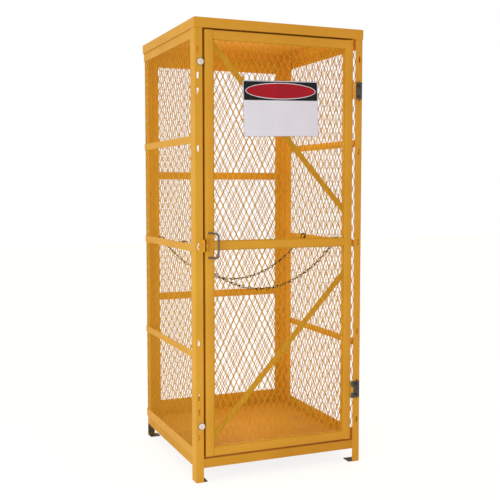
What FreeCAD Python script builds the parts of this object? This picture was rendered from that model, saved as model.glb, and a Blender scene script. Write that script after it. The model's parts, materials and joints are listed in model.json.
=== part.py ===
import FreeCAD, Part
import math
import os
import re
import Sketcher
from FreeCAD import Vector

# Gas cylinder cage, millimetres. The origin is on the floor at the middle of the anchor
# holes, the door faces -Y and +Z is up. Four folded corner posts carry a folded roof cap,
# a floor tray, two mesh sides, a mesh back and one hinged mesh door.

SIZES = [
    ("body_width", 808, "outside width over the front posts"),
    ("body_depth", 796, "outside depth from the front posts to the back frame"),
    ("full_height", 2000, "floor to the top of the roof cap"),
    ("post_sheet", 3, "sheet thickness of the corner posts"),
    ("post_face", 35, "width of a post's front or rear flange"),
    ("post_side", 55, "depth of a post's side flange"),
    ("panel_sheet", 2, "sheet thickness of the rails on the sides and the back"),
    ("mesh_sheet", 2, "thickness of the mesh panels"),
    ("mesh_inset", 6, "distance that a mesh stops short of its frame's outer edge"),
    ("mesh_border", 7, "width of a mesh panel's uncut edge"),
    ("mesh_short_way", 31, "width of one diamond of the real mesh"),
    ("mesh_long_way", 62, "height of one diamond of the real mesh"),
    ("mesh_step_count", 4, "one strand in this many is modelled, so that the lattice stays light"),
    ("strand", 8, "width of a modelled strand"),
    ("slot_from_edge", 14, "middle of a slot from the post's outer edge"),
    ("slot_width", 9, "width of a fixing slot"),
    ("slot_length", 28, "length of a fixing slot"),
    ("first_slot", 201, "height of the lowest fixing slot"),
    ("last_slot", 134, "highest fixing slot below the top of the roof cap"),
    ("slot_count", 5, "slots up a post"),
    ("cap_sheet", 2, "sheet thickness of the roof cap"),
    ("cap_flange", 43, "height of the roof cap's edge"),
    ("tray_top", 103, "height of the floor on which the cylinders stand"),
    ("tray_flange", 40, "height of the floor tray's edge"),
    ("tray_sheet", 3, "sheet thickness of the floor tray"),
    ("foot_side", 50, "side of a square foot plate"),
    ("foot_sheet", 4, "thickness of a foot plate"),
    ("anchor_hole", 13, "diameter of a hole for a floor anchor"),
    ("leg_cut", 60, "height up to which a rear post has no side flange"),
    ("side_top_rail", 40, "height of a side's top rail below the roof cap"),
    ("side_bottom_rail", 40, "height of a side's bottom rail"),
    ("side_rail", 32, "height of a side's middle rails"),
    ("side_rail_rise", 457, "centre line of a side's lowest middle rail above the tray"),
    ("side_rail_drop", 467, "centre line of a side's highest middle rail below the roof cap"),
    ("back_stile", 70, "width of a stile of the back frame"),
    ("back_foot_gap", 0.5, "back frame's lower edge above the floor tray"),
    ("back_head_gap", 33, "back frame's upper edge below the roof"),
    ("back_end_rail", 71, "height of the back frame's top and bottom rails"),
    ("back_rail", 37, "height of the back frame's middle rails"),
    ("back_rail_inset", 619, "centre line of a back middle rail from the frame's end"),
    ("latch_gap", 11, "gap between the latch post and the door"),
    ("hinge_gap", 13, "gap between the door and the hinge post"),
    ("door_foot_gap", 9, "gap under the door"),
    ("door_head_gap", 7, "gap over the door"),
    ("door_tube", 38, "width of the door's frame tube"),
    ("door_depth", 32, "depth of the door's frame tube"),
    ("mid_rail", 35, "height of the door's middle rail"),
    ("mid_rail_centre", 1037, "centre line of the door's middle rail"),
    ("door_mesh_setback", 4, "door mesh behind the door's front face"),
    ("brace_width", 25, "width of a diagonal brace"),
    ("brace_sheet", 5, "thickness of a diagonal brace"),
    ("brace_drop", 60, "upper brace's centre line below the door's head at the latch stile"),
    ("brace_rise", 84, "lower brace's centre line above the door's foot at the latch stile"),
    ("brace_spread", 143, "braces' centre lines from the middle rail's at the hinge stile"),
    ("sign_width", 362, "width of the sign plate"),
    ("sign_height", 242, "height of the sign plate"),
    ("sign_drop", 198, "sign plate's upper edge below the door's head"),
    ("sign_sheet", 2, "thickness of the sign plate"),
    ("hinge_drop", 225, "upper hinge's centre below the door's head"),
    ("hinge_rise", 233.5, "lower hinge's centre above the door's foot"),
    ("hinge_length", 78, "height of a hinge"),
    ("hinge_leaf", 3, "thickness of a hinge's leaf on the post"),
    ("hinge_leaf_margin", 2, "hinge leaf's edge from the post's outer edge"),
    ("edge_leaf", 2.5, "thickness of a hinge's leaf on the door's edge"),
    ("edge_leaf_depth", 27, "depth of a hinge's leaf along the door's edge"),
    ("hinge_axis_side", 6, "hinge axis beside the door's edge"),
    ("hinge_axis_out", 6, "hinge axis in front of the door's face"),
    ("knuckle_radius", 5.5, "outer radius of a hinge's knuckles"),
    ("pin_radius", 2.5, "radius of a hinge pin"),
    ("pin_play", 0.3, "play round a hinge pin and between its knuckles"),
    ("bolt_pitch", 66, "distance between the two bolts of a hinge"),
    ("buffer_diameter", 28, "diameter of a buffer"),
    ("buffer_height", 6, "height of a buffer"),
    ("buffer_from_edge", 26, "buffer's centre from the latch post's outer edge"),
    ("buffer_drop", 135, "upper buffer's centre below the door's head"),
    ("buffer_rise", 138, "lower buffer's centre above the door's foot"),
    ("lug_sheet", 3, "thickness of a padlock lug"),
    ("lug_height", 54, "height of a padlock lug"),
    ("lug_reach", 26, "reach of a padlock lug in front of the door"),
    ("lug_corner", 8, "cut-off corner of a padlock lug"),
    ("lug_hole", 12, "diameter of the hole for a padlock's shackle"),
    ("lug_hole_margin", 11, "shackle hole's centre from the lug's outer edge"),
    ("handle_rod", 9, "diameter of the handle's rod"),
    ("handle_length", 106, "distance between the handle's two legs"),
    ("handle_reach", 55, "length of a handle leg from the door to the grip"),
    ("handle_bend", 16, "radius of the handle's bends"),
    ("handle_turn", 30, "angle by which the handle leans towards the hinges"),
    ("handle_from_edge", 15, "handle's legs from the door's latch edge"),
    ("eye_rise", 9, "chain eyes above the centre line of a side's central rail"),
    ("eye_front", 205, "front chain's eyes from the cage's front"),
    ("eye_rear", 565, "rear chain's eyes from the cage's front"),
    ("eye_reach", 14, "hole of a chain eye from the mesh"),
    ("eye_radius", 14, "radius of a chain eye's round end"),
    ("eye_hole", 16, "diameter of a chain eye's hole"),
    ("eye_sheet", 4, "thickness of a chain eye"),
    ("eye_gap", 1, "gap round a chain eye where it comes through the mesh"),
    ("chain_width", 12, "outside width of a chain's links"),
]

# Each chain hangs across the cage in one upright plane. A point is its place across the cage
# and its height, from the left eye to the right eye, and was chosen by hand.
FRONT_CHAIN = [
    (-374, 1023), (-326, 966), (-268, 911), (-198, 865), (-122, 830), (-42, 812),
    (38, 813), (118, 831), (193, 865), (264, 912), (324, 967), (374, 1023),
]
REAR_CHAIN = [
    (-374, 1023), (-325, 970), (-266, 917), (-197, 873), (-121, 840), (-40, 823),
    (42, 824), (122, 841), (197, 873), (266, 918), (325, 970), (374, 1023),
]

# Faces and edges that several pieces share, measured from the origin.
POST_INNER = "(body_width / 2 - post_sheet)"
RAIL_INNER = "(body_width / 2 - post_sheet - panel_sheet)"
MESH_INNER = "(body_width / 2 - post_sheet - panel_sheet - mesh_sheet)"
REAR_POST_BACK = "(body_depth / 2 - panel_sheet)"
FRONT_FACE = "(-body_depth / 2)"
ROOF_UNDER = "(full_height - cap_sheet)"
CAP_EDGE = "(full_height - cap_flange)"
LATCH_EDGE = "(-body_width / 2 + post_face + latch_gap)"
HINGE_EDGE = "(body_width / 2 - post_face - hinge_gap)"
DOOR_INNER_WIDTH = "(body_width - 2 * post_face - latch_gap - hinge_gap - 2 * door_tube)"
DOOR_FOOT = "(tray_top + door_foot_gap)"
DOOR_HEAD = "(full_height - cap_flange - door_head_gap)"
DOOR_MESH_FACE = "(-body_depth / 2 + door_mesh_setback)"
HINGE_X = "(body_width / 2 - post_face - hinge_gap + hinge_axis_side)"
HINGE_Y = "(-body_depth / 2 - hinge_axis_out)"
BACK_FOOT = "(tray_top + back_foot_gap)"
BACK_HEAD = "(full_height - cap_sheet - back_head_gap)"
LOW_RAIL = "(tray_top + side_rail_rise)"
HIGH_RAIL = "(full_height - cap_flange - side_rail_drop)"
MIDDLE_RAIL = "((tray_top + side_rail_rise + full_height - cap_flange - side_rail_drop) / 2)"
HINGE_HIGH = "(full_height - cap_flange - door_head_gap - hinge_drop)"
HINGE_LOW = "(tray_top + door_foot_gap + hinge_rise)"

DOC = FreeCAD.newDocument("gas_cylinder_cage")
NODES = []


def make_sheet():
    """The driving dimensions, one row each: name, value, meaning."""
    sheet = DOC.addObject("Spreadsheet::Sheet", "sizes")
    for row, (name, value, meaning) in enumerate(SIZES, start=1):
        sheet.set(f"A{row}", name)
        sheet.set(f"B{row}", str(value))
        sheet.set(f"C{row}", meaning)
        sheet.setAlias(f"B{row}", name)
    DOC.recompute()
    return sheet


SHEET = make_sheet()
ALIASES = {name for name, _, _ in SIZES}


def rule(text):
    """An expression in which every driving dimension is read from the sheet."""
    return re.sub(r"[a-z_]+", lambda m: "sizes." + m[0] if m[0] in ALIASES else m[0], text)


def size(name):
    """The value of one driving dimension."""
    return float(SHEET.get(name))


def node(piece, name):
    """Mark a finished piece as a sub-part of the cage."""
    piece.Label = name
    NODES.append(piece)
    return piece


def place(piece, corner):
    """Bind a piece's position to three rules."""
    for axis, text in zip("xyz", corner):
        piece.setExpression(".Placement.Base." + axis, rule(text))
    return piece


def block(name, sides, corner):
    """A flat bar, sheet or tube: its three sides and its lowest corner follow rules."""
    piece = DOC.addObject("Part::Box", name)
    for side, text in zip(("Length", "Width", "Height"), sides):
        piece.setExpression(side, rule(text))
    return place(piece, corner)


def rod(name, radius, length, start, axis=None):
    """A round bar from its start along +Z, or along the axis that is given."""
    piece = DOC.addObject("Part::Cylinder", name)
    piece.setExpression("Radius", rule(radius))
    piece.setExpression("Height", rule(length))
    if axis:
        piece.Placement.Rotation = FreeCAD.Rotation(Vector(0, 0, 1), axis)
    return place(piece, start)


def fuse(name, pieces):
    joined = DOC.addObject("Part::MultiFuse", name)
    joined.Shapes = pieces
    return joined


def cut(name, base, tool):
    result = DOC.addObject("Part::Cut", name)
    result.Base = base
    result.Tool = tool
    return result


def group(name, pieces):
    """Like pieces that don't touch, kept as one sub-part."""
    result = DOC.addObject("Part::Compound", name)
    result.Links = pieces
    return node(result, name)


def new_body(name, corner=("0", "0", "0")):
    return place(DOC.addObject("PartDesign::Body", name), corner)


def new_sketch(body, name, plane):
    """A sketch on one of the body's own origin planes."""
    sketch = body.newObject("Sketcher::SketchObject", name)
    support = [part for part in body.Origin.OriginFeatures if part.Role == plane][0]
    sketch.AttachmentSupport = [(support, "")]
    sketch.MapMode = "FlatFace"
    return sketch


def pin_point(sketch, geometry, point, corner):
    """Hold a point of the sketch at two rules from the sketch's origin."""
    for kind, text in zip(("DistanceX", "DistanceY"), corner):
        index = sketch.addConstraint(Sketcher.Constraint(kind, -1, 1, geometry, point, 1.0))
        sketch.setExpression(f"Constraints[{index}]", rule(text))


def bind(sketch, constraint, text):
    """Add a dimension to the sketch and let it follow a rule."""
    index = sketch.addConstraint(constraint)
    sketch.setExpression(f"Constraints[{index}]", rule(text))


def outline(sketch, corners):
    """A closed outline of straight lines whose corners follow rules."""
    count = len(corners)
    ring = [Vector(math.cos(k * math.tau / count), math.sin(k * math.tau / count), 0)
            for k in range(count)]
    lines = [sketch.addGeometry(Part.LineSegment(ring[k], ring[(k + 1) % count]), False)
             for k in range(count)]
    for k, line in enumerate(lines):
        following = lines[(k + 1) % count]
        sketch.addConstraint(Sketcher.Constraint("Coincident", line, 2, following, 1))
        pin_point(sketch, line, 1, corners[k])


def circle(sketch, centre, diameter):
    ring = sketch.addGeometry(Part.Circle(Vector(1, 1, 0), Vector(0, 0, 1), 1.0), False)
    pin_point(sketch, ring, 3, centre)
    bind(sketch, Sketcher.Constraint("Diameter", ring, 2.0), diameter)


def upright_slot(sketch, across, height):
    """A slot with round ends, its length along the sketch's second axis."""
    radius = size("slot_width") / 2
    up = Vector(0, (size("slot_length") - size("slot_width")) / 2, 0)
    side = Vector(radius, 0, 0)
    normal = Vector(0, 0, 1)
    top = sketch.addGeometry(
        Part.ArcOfCircle(Part.Circle(up, normal, radius), 0, math.pi), False)
    left = sketch.addGeometry(Part.LineSegment(up - side, -side - up), False)
    bottom = sketch.addGeometry(
        Part.ArcOfCircle(Part.Circle(-up, normal, radius), math.pi, math.tau), False)
    right = sketch.addGeometry(Part.LineSegment(side - up, up + side), False)
    loop = [(top, left), (left, bottom), (bottom, right), (right, top)]
    for first, second in loop:
        sketch.addConstraint(Sketcher.Constraint("Coincident", first, 2, second, 1))
    for arc, way in ((top, "+"), (bottom, "-")):
        for end in (1, 2):
            sketch.addConstraint(Sketcher.Constraint("Horizontal", arc, end, arc, 3))
        pin_point(sketch, arc, 3,
                  (across, f"{height} {way} (slot_length - slot_width) / 2"))
        bind(sketch, Sketcher.Constraint("Radius", arc, radius), "slot_width / 2")


def pad(body, sketch, name, length, towards_minus=False):
    feature = body.newObject("PartDesign::Pad", name)
    feature.Profile = sketch
    feature.Reversed = towards_minus
    feature.setExpression("Length", rule(length))
    return feature


def pocket(body, sketch, name, depth, away_from_normal=True):
    feature = body.newObject("PartDesign::Pocket", name)
    feature.Profile = sketch
    feature.Reversed = not away_from_normal
    feature.setExpression("Length", rule(depth))
    return feature


def pocket_through(body, sketch, name):
    """A pocket through everything on both sides of its sketch."""
    feature = body.newObject("PartDesign::Pocket", name)
    feature.Profile = sketch
    feature.Type = "ThroughAll"
    feature.Midplane = True
    return feature


def inboard(hand, face, thickness):
    """The low edge of a sheet whose outer side is at a face left (1) or right (-1)."""
    return f"-{face}" if hand > 0 else f"{face} - {thickness}"


def corner_post(name, hand, way):
    """A folded corner post: hand is 1 on the left and -1 on the right, way is 1 at the
    front, where the post stands outside the side panel and takes the hinges' bolts on either
    hand, and -1 at the rear, where it stands inside the panel. Its face and its side
    are nodes of their own, which meet at the fold, so that each one collides as a flat plate."""
    across = "(body_width / 2)" if way > 0 else MESH_INNER
    deep = "(body_depth / 2)" if way > 0 else REAR_POST_BACK
    body = new_body(name + "_fold_body", (f"{-hand} * {across}", f"{-way} * {deep}", "0"))
    fold = new_sketch(body, name + "_fold", "XY_Plane")
    corners = [("0", "0"), ("post_face", "0"), ("post_face", "post_sheet"),
               ("post_sheet", "post_sheet"), ("post_sheet", "post_side"), ("0", "post_side")]
    outline(fold, [(f"{hand} * {x}", f"{way} * {y}") for x, y in corners])
    pad(body, fold, name + "_length", ROOF_UNDER)

    slot = new_sketch(body, name + "_slot", "XZ_Plane")
    upright_slot(slot, f"{hand} * slot_from_edge", "first_slot")
    first = pocket_through(body, slot, name + "_first_slot")
    pattern = body.newObject("PartDesign::LinearPattern", name + "_slots")
    pattern.Originals = [first]
    pattern.Direction = (slot, ["V_Axis"])
    pattern.setExpression("Length", rule("full_height - last_slot - first_slot"))
    pattern.setExpression("Occurrences", rule("slot_count"))
    body.Tip = pattern

    if way > 0:
        bolts = new_sketch(body, name + "_bolts", "XZ_Plane")
        for hinge in (HINGE_HIGH, HINGE_LOW):
            for end in ("-", "+"):
                upright_slot(bolts, f"{hand} * slot_from_edge",
                             f"{hinge} {end} bolt_pitch / 2")
        pocket_through(body, bolts, name + "_bolt_slots")
    else:
        leg = new_sketch(body, name + "_leg", "XY_Plane")
        corners = [("-post_sheet", "post_sheet"), ("2 * post_sheet", "post_sheet"),
                   ("2 * post_sheet", "2 * post_side"), ("-post_sheet", "2 * post_side")]
        outline(leg, [(f"{hand} * ({x})", f"{way} * {y}") for x, y in corners])
        pocket(body, leg, name + "_leg_cut", "leg_cut", away_from_normal=False)

    low_x = f"-{across}" if hand > 0 else f"{across} - post_face"
    parts = (("", "post_side - post_sheet", "post_sheet"), ("_side", "post_sheet", "0"))
    for suffix, depth, start in parts:
        low_y = f"-{deep} + {start}" if way > 0 else f"{deep} - {start} - ({depth})"
        rest = block(f"{name}_rest{suffix}", ("post_face", depth, ROOF_UNDER),
                     (low_x, low_y, "0"))
        node(cut(f"{name}{suffix}", body, rest), f"{name}{suffix}")


def foot_plate(name, hand, way):
    """A square plate inside a post's foot, with the hole for a floor anchor."""
    across = POST_INNER if way > 0 else MESH_INNER
    deep = "(body_depth / 2 - post_sheet)" if way > 0 else f"({REAR_POST_BACK} - post_sheet)"
    x_low = f"-{across}" if hand > 0 else f"{across} - foot_side"
    y_low = f"-{deep}" if way > 0 else f"{deep} - foot_side"
    plate = block(name + "_plate", ("foot_side", "foot_side", "foot_sheet"),
                  (x_low, y_low, "0"))
    hole = rod(name + "_hole", "anchor_hole / 2", "3 * foot_sheet",
               (f"{-hand} * ({MESH_INNER} - foot_side / 2)",
                f"{-way} * ({REAR_POST_BACK} - post_sheet - foot_side / 2)", "-foot_sheet"))
    return node(cut(name, plate, hole), name)


def rectangle(sketch, half_across, half_deep):
    outline(sketch, [(f"-({half_across})", f"-({half_deep})"), (half_across, f"-({half_deep})"),
                     (half_across, half_deep), (f"-({half_across})", half_deep)])


def roof_cap():
    """A folded lid that fits over the posts."""
    body = new_body("roof_cap", ("0", "0", CAP_EDGE))
    outer = new_sketch(body, "cap_outside", "XY_Plane")
    rectangle(outer, "body_width / 2 + cap_sheet", "body_depth / 2 + cap_sheet")
    pad(body, outer, "cap_block", "cap_flange")
    inner = new_sketch(body, "cap_inside", "XY_Plane")
    rectangle(inner, "body_width / 2", "body_depth / 2")
    pocket(body, inner, "cap_hollow", "cap_flange - cap_sheet", away_from_normal=False)
    node(body, "roof_cap")


def floor_tray():
    """A folded tray between the posts, cut out round the rear ones."""
    sides = ("2 * " + POST_INNER, "body_depth - post_sheet - panel_sheet", "tray_flange")
    low = f"-{POST_INNER}", f"{FRONT_FACE} + post_sheet", "tray_top - tray_flange"
    outer = block("tray_block", sides, low)
    hollow = block("tray_hollow",
                   (sides[0] + " - 2 * tray_sheet", sides[1] + " - 2 * tray_sheet", sides[2]),
                   (low[0] + " + tray_sheet", low[1] + " + tray_sheet", low[2] + " - tray_sheet"))
    notches = []
    for hand, side in ((1, "left"), (-1, "right")):
        reach = f"({POST_INNER} - {MESH_INNER} + post_sheet)"
        notches.append(block(f"tray_side_notch_{side}",
                             (reach, "post_side", "2 * tray_flange"),
                             (inboard(hand, POST_INNER, reach),
                              f"{REAR_POST_BACK} - post_side", "tray_top - tray_flange")))
        reach = f"({POST_INNER} - {MESH_INNER} + post_face)"
        notches.append(block(f"tray_back_notch_{side}",
                             (reach, "post_sheet", "2 * tray_flange"),
                             (inboard(hand, POST_INNER, reach),
                              f"{REAR_POST_BACK} - post_sheet", "tray_top - tray_flange")))
    node(cut("floor_tray", outer, fuse("tray_openings", [hollow] + notches)), "floor_tray")


def inside(polygon, axis, way, limit):
    """The part of a polygon on one side of a line across an axis of its plane."""
    kept = []
    for here, after in zip(polygon, polygon[1:] + polygon[:1]):
        depth, depth_after = (way * (limit - corner[axis]) for corner in (here, after))
        if depth >= 0:
            kept.append(here)
        if depth * depth_after < 0:
            share = depth / (depth - depth_after)
            kept.append([here[k] + share * (after[k] - here[k]) for k in (0, 1)])
    return kept


def diamond_holes(width, height):
    """The openings between two families of crossing strands, cut off at the sheet's border."""
    across = size("mesh_step_count") * size("mesh_short_way") / 2
    up = size("mesh_step_count") * size("mesh_long_way") / 2
    shrink = 1 - size("strand") / 2 * math.hypot(1 / across, 1 / up)
    border = size("mesh_border")
    columns = math.ceil(width / 2 / across)
    rows = math.ceil(height / 2 / up)
    holes = []
    for column in range(-columns, columns + 1):
        for row in range(-rows, rows + 1):
            if (column + row) % 2 == 0:
                continue
            x = width / 2 + column * across
            z = height / 2 + row * up
            hole = [[x - shrink * across, z], [x, z - shrink * up],
                    [x + shrink * across, z], [x, z + shrink * up]]
            for axis, reach in ((0, width), (1, height)):
                hole = inside(hole, axis, 1, reach - border)
                hole = inside(hole, axis, -1, border)
            if len(hole) > 2:
                holes.append(hole)
    return holes


def mesh_sheet(name, width, height, along_y, corner):
    """A mesh panel: a sheet with diamond holes, upright and along X or Y."""
    def wire(polygon):
        points = [Vector(0, u, v) if along_y else Vector(u, 0, v) for u, v in polygon]
        return Part.makePolygon(points + points[:1])

    holes = [hole for hole in diamond_holes(width, height)
             if Part.Face(wire(hole)).Area > size("strand") ** 2]
    outer = [[0, 0], [width, 0], [width, height], [0, height]]
    face = DOC.addObject("Part::Feature", name + "_face")
    face.Shape = Part.makeFace([wire(polygon) for polygon in [outer] + holes],
                               "Part::FaceMakerBullseye")
    sheet = DOC.addObject("Part::Extrusion", name)
    sheet.Base = face
    sheet.DirMode = "Custom"
    sheet.Dir = Vector(1, 0, 0) if along_y else Vector(0, 1, 0)
    sheet.Solid = True
    sheet.setExpression("LengthFwd", rule("mesh_sheet"))
    return place(sheet, corner)


def side_panel(side, hand):
    """Flat rails inside the front post and over the rear post, with mesh behind them."""
    run = "body_depth - post_sheet"
    start = f"{FRONT_FACE} + post_sheet"
    rail_x = inboard(hand, POST_INNER, "panel_sheet")

    def rail(name, height, low):
        return block(name, ("panel_sheet", run, height), (rail_x, start, low))

    node(rail(f"{side}_top_rail", "side_top_rail + cap_flange - cap_sheet",
              f"{CAP_EDGE} - side_top_rail"), f"{side}_top_rail")
    node(rail(f"{side}_bottom_rail", "side_bottom_rail", "tray_top"), f"{side}_bottom_rail")
    group(f"{side}_rails",
          [rail(f"{side}_rail_{k}", "side_rail", f"{centre} - side_rail / 2")
           for k, centre in enumerate((LOW_RAIL, MIDDLE_RAIL, HIGH_RAIL), start=1)])
    mesh_depth = size("body_depth") - size("post_sheet") - 2 * size("mesh_inset")
    mesh_height = (size("full_height") - size("cap_flange") - size("tray_top")
                   - size("mesh_inset"))
    sheet = mesh_sheet(f"{side}_mesh_sheet", mesh_depth, mesh_height, True,
                       (inboard(hand, RAIL_INNER, "mesh_sheet"), start + " + mesh_inset",
                        "tray_top + mesh_inset"))
    gaps = [block(f"{side}_mesh_gap_{row}",
                  ("mesh_sheet", "eye_sheet + 2 * eye_gap", "2 * (eye_radius + eye_gap)"),
                  (inboard(hand, RAIL_INNER, "mesh_sheet"),
                   f"{FRONT_FACE} + eye_{row} - eye_sheet / 2 - eye_gap",
                   f"{MIDDLE_RAIL} + eye_rise - eye_radius - eye_gap"))
            for row in ("front", "rear")]
    node(cut(f"{side}_mesh", sheet, fuse(f"{side}_mesh_gaps", gaps)), f"{side}_mesh")


def back_panel():
    """A flat frame on the back of the rear posts, with mesh on its inner side."""
    height = f"{BACK_HEAD} - {BACK_FOOT}"
    for hand, side in ((1, "left"), (-1, "right")):
        stile = block(f"back_stile_{side}", ("back_stile", "panel_sheet", height),
                      (inboard(hand, MESH_INNER, "back_stile"), REAR_POST_BACK, BACK_FOOT))
        node(stile, f"back_stile_{side}")

    def rail(name, rail_height, low):
        return block(name, (f"2 * ({MESH_INNER} - back_stile)", "panel_sheet", rail_height),
                     (f"-({MESH_INNER} - back_stile)", REAR_POST_BACK, low))

    node(rail("back_top_rail", "back_end_rail", f"{BACK_HEAD} - back_end_rail"),
         "back_top_rail")
    node(rail("back_bottom_rail", "back_end_rail", BACK_FOOT), "back_bottom_rail")
    group("back_rails",
          [rail("back_rail_1", "back_rail", f"{BACK_FOOT} + back_rail_inset - back_rail / 2"),
           rail("back_rail_2", "back_rail", f"{BACK_HEAD} - back_rail_inset - back_rail / 2")])
    half = (size("body_width") / 2 - size("post_sheet") - size("panel_sheet")
            - size("mesh_sheet") - size("post_face") - size("mesh_inset"))
    mesh_height = (size("full_height") - size("cap_sheet") - size("back_head_gap")
                   - size("tray_top") - size("back_foot_gap") - 2 * size("mesh_inset"))
    node(mesh_sheet("back_mesh", 2 * half, mesh_height, False,
                    (f"-({MESH_INNER} - post_face - mesh_inset)",
                     f"{REAR_POST_BACK} - mesh_sheet", f"{BACK_FOOT} + mesh_inset")),
         "back_mesh")


def chain_eyes():
    """At each end of the two chains, a round-ended plate with a hole. It stands on a side's
    central rail and comes in through the mesh."""
    eyes = []
    for row in ("front", "rear"):
        for hand, side in ((1, "left"), (-1, "right")):
            name = f"eye_{row}_{side}"
            side_y = f"{FRONT_FACE} + eye_{row} - eye_sheet / 2"
            height = f"{MIDDLE_RAIL} + eye_rise"
            centre = f"{hand} * (eye_reach - {MESH_INNER})"
            depth = "(eye_reach + mesh_sheet)"
            web = block(name + "_web", (depth, "eye_sheet", "2 * eye_radius"),
                        (inboard(hand, RAIL_INNER, depth), side_y, f"{height} - eye_radius"))
            end = rod(name + "_end", "eye_radius", "eye_sheet", (centre, side_y, height),
                      Vector(0, 1, 0))
            hole = rod(name + "_hole", "eye_hole / 2", "2 * eye_sheet",
                       (centre, f"{side_y} - eye_sheet / 2", height), Vector(0, 1, 0))
            eyes.append(cut(name, fuse(name + "_plate", [web, end]), hole))
    group("chain_eyes", eyes)


def corner_arc(before, corner, after):
    """The arc that rounds a corner of a route, as large as its shorter run allows."""
    into = (before - corner)
    out = (after - corner)
    reach = 0.45 * min(into.Length, out.Length)
    turn = math.pi - into.getAngle(out)
    radius = reach / math.tan(turn / 2)
    start = corner + into.normalize() * reach
    end = corner + out.normalize() * reach
    middle = (into + out).normalize()
    top = corner + middle * (math.hypot(radius, reach) - radius)
    return start, Part.Arc(start, top, end).toShape(), end, radius


def ring_points(centre, along, radius):
    """The corners of an eight-sided section, closed, square to a direction."""
    flat = Vector(0, 1, 0)
    up = along.cross(flat)
    angles = [math.tau * (k % 8 + 0.5) / 8 for k in range(9)]
    return [centre + flat * radius * math.cos(a) + up * radius * math.sin(a) for a in angles]


def chain_tube(name, route, eye):
    """The plain solid that a hanging chain fills: straight runs joined by tangent arcs."""
    y = -size("body_depth") / 2 + size(eye)
    points = [Vector(x, y, z) for x, z in route]
    edges = []
    radii = []
    last = points[0]
    for before, corner, after in zip(points, points[1:], points[2:]):
        start, arc, end, radius = corner_arc(before, corner, after)
        edges += [Part.LineSegment(last, start).toShape(), arc]
        radii.append(round(radius))
        last = end
    edges.append(Part.LineSegment(last, points[-1]).toShape())
    path = Part.Wire(edges)
    along = (points[1] - points[0]).normalize()
    section = Part.makePolygon(ring_points(points[0], along, size("chain_width") / 2))
    tube = path.makePipeShell([section], True, True)
    expected = Part.Face(section).Area * path.Length
    print(f"{name}: length {path.Length:.0f}, radii {radii}, "
          f"volume {tube.Volume / expected:.4f} of the expected one")
    piece = DOC.addObject("Part::Feature", name)
    piece.Shape = tube
    node(piece, name)


def hinge(name, height):
    """A butt hinge: the post's leaf carries the pin and the outer knuckles, the door's leaf
    lies on the door's edge and carries the middle knuckle."""
    low = f"{height} - hinge_length / 2"
    third = "hinge_length / 3"
    leaf = block(name + "_leaf", (f"body_width / 2 - hinge_leaf_margin - {HINGE_X}",
                                  "hinge_leaf", "hinge_length"),
                 (HINGE_X, f"{FRONT_FACE} - hinge_leaf", low))
    knuckles = rod(name + "_knuckles", "knuckle_radius", "hinge_length",
                   (HINGE_X, HINGE_Y, low))
    gap = rod(name + "_gap", "knuckle_radius + 2 * pin_play", f"{third} + 2 * pin_play",
              (HINGE_X, HINGE_Y, f"{low} + {third} - pin_play"))
    pin = rod(name + "_pin", "pin_radius", "hinge_length", (HINGE_X, HINGE_Y, low))
    open_leaf = cut(name + "_open_leaf", fuse(name + "_plain_leaf", [leaf, knuckles]), gap)
    node(fuse(name + "_post_leaf", [open_leaf, pin]), name + "_post_leaf")

    edge = block(name + "_edge", ("edge_leaf", "edge_leaf_depth", "hinge_length"),
                 (HINGE_EDGE, f"{FRONT_FACE} + pin_play", low))
    tongue_x = f"{HINGE_X} - knuckle_radius"
    tongue = block(name + "_tongue",
                   ("edge_leaf", "hinge_axis_out + 2 * edge_leaf", third),
                   (tongue_x, HINGE_Y, f"{low} + {third}"))
    middle = rod(name + "_middle", "knuckle_radius", third,
                 (HINGE_X, HINGE_Y, f"{low} + {third}"))
    bore = rod(name + "_bore", "pin_radius + pin_play", "hinge_length",
               (HINGE_X, HINGE_Y, low))
    node(cut(name + "_door_leaf", fuse(name + "_plain_edge", [edge, tongue, middle]), bore),
         name + "_door_leaf")


def door_buffers():
    """Two round buffers on the face of the latch post."""
    heights = (("upper", f"{DOOR_HEAD} - buffer_drop"), ("lower", f"{DOOR_FOOT} + buffer_rise"))
    group("door_buffers",
          [rod(f"{name}_buffer", "buffer_diameter / 2", "buffer_height",
               ("-body_width / 2 + buffer_from_edge", FRONT_FACE, height), Vector(0, -1, 0))
           for name, height in heights])


def padlock_lug(name, x_low):
    """A plate that stands out in front, with the hole for a padlock's shackle."""
    body = new_body(name, (x_low, FRONT_FACE, "mid_rail_centre"))
    shape = new_sketch(body, name + "_outline", "YZ_Plane")
    half = "lug_height / 2"
    outline(shape, [("0", f"-{half}"), ("0", half),
                    ("-(lug_reach - lug_corner)", half),
                    ("-lug_reach", f"{half} - lug_corner"),
                    ("-lug_reach", f"-({half} - lug_corner)"),
                    ("-(lug_reach - lug_corner)", f"-{half}")])
    circle(shape, ("-(lug_reach - lug_hole_margin)", "0"), "lug_hole")
    pad(body, shape, name + "_plate", "lug_sheet")
    node(body, name)


def door_frame():
    """Two full-height stiles with three rails between them."""
    tube = ("door_tube", "door_depth", f"{DOOR_HEAD} - {DOOR_FOOT}")
    node(block("door_stile_latch", tube, (LATCH_EDGE, FRONT_FACE, DOOR_FOOT)),
         "door_stile_latch")
    node(block("door_stile_hinge", tube, (f"{HINGE_EDGE} - door_tube", FRONT_FACE, DOOR_FOOT)),
         "door_stile_hinge")
    rails = (("door_top_rail", "door_tube", f"{DOOR_HEAD} - door_tube"),
             ("door_mid_rail", "mid_rail", "mid_rail_centre - mid_rail / 2"),
             ("door_bottom_rail", "door_tube", DOOR_FOOT))
    for name, height, low in rails:
        node(block(name, (DOOR_INNER_WIDTH, "door_depth", height),
                   (f"{LATCH_EDGE} + door_tube", FRONT_FACE, low)), name)


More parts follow.
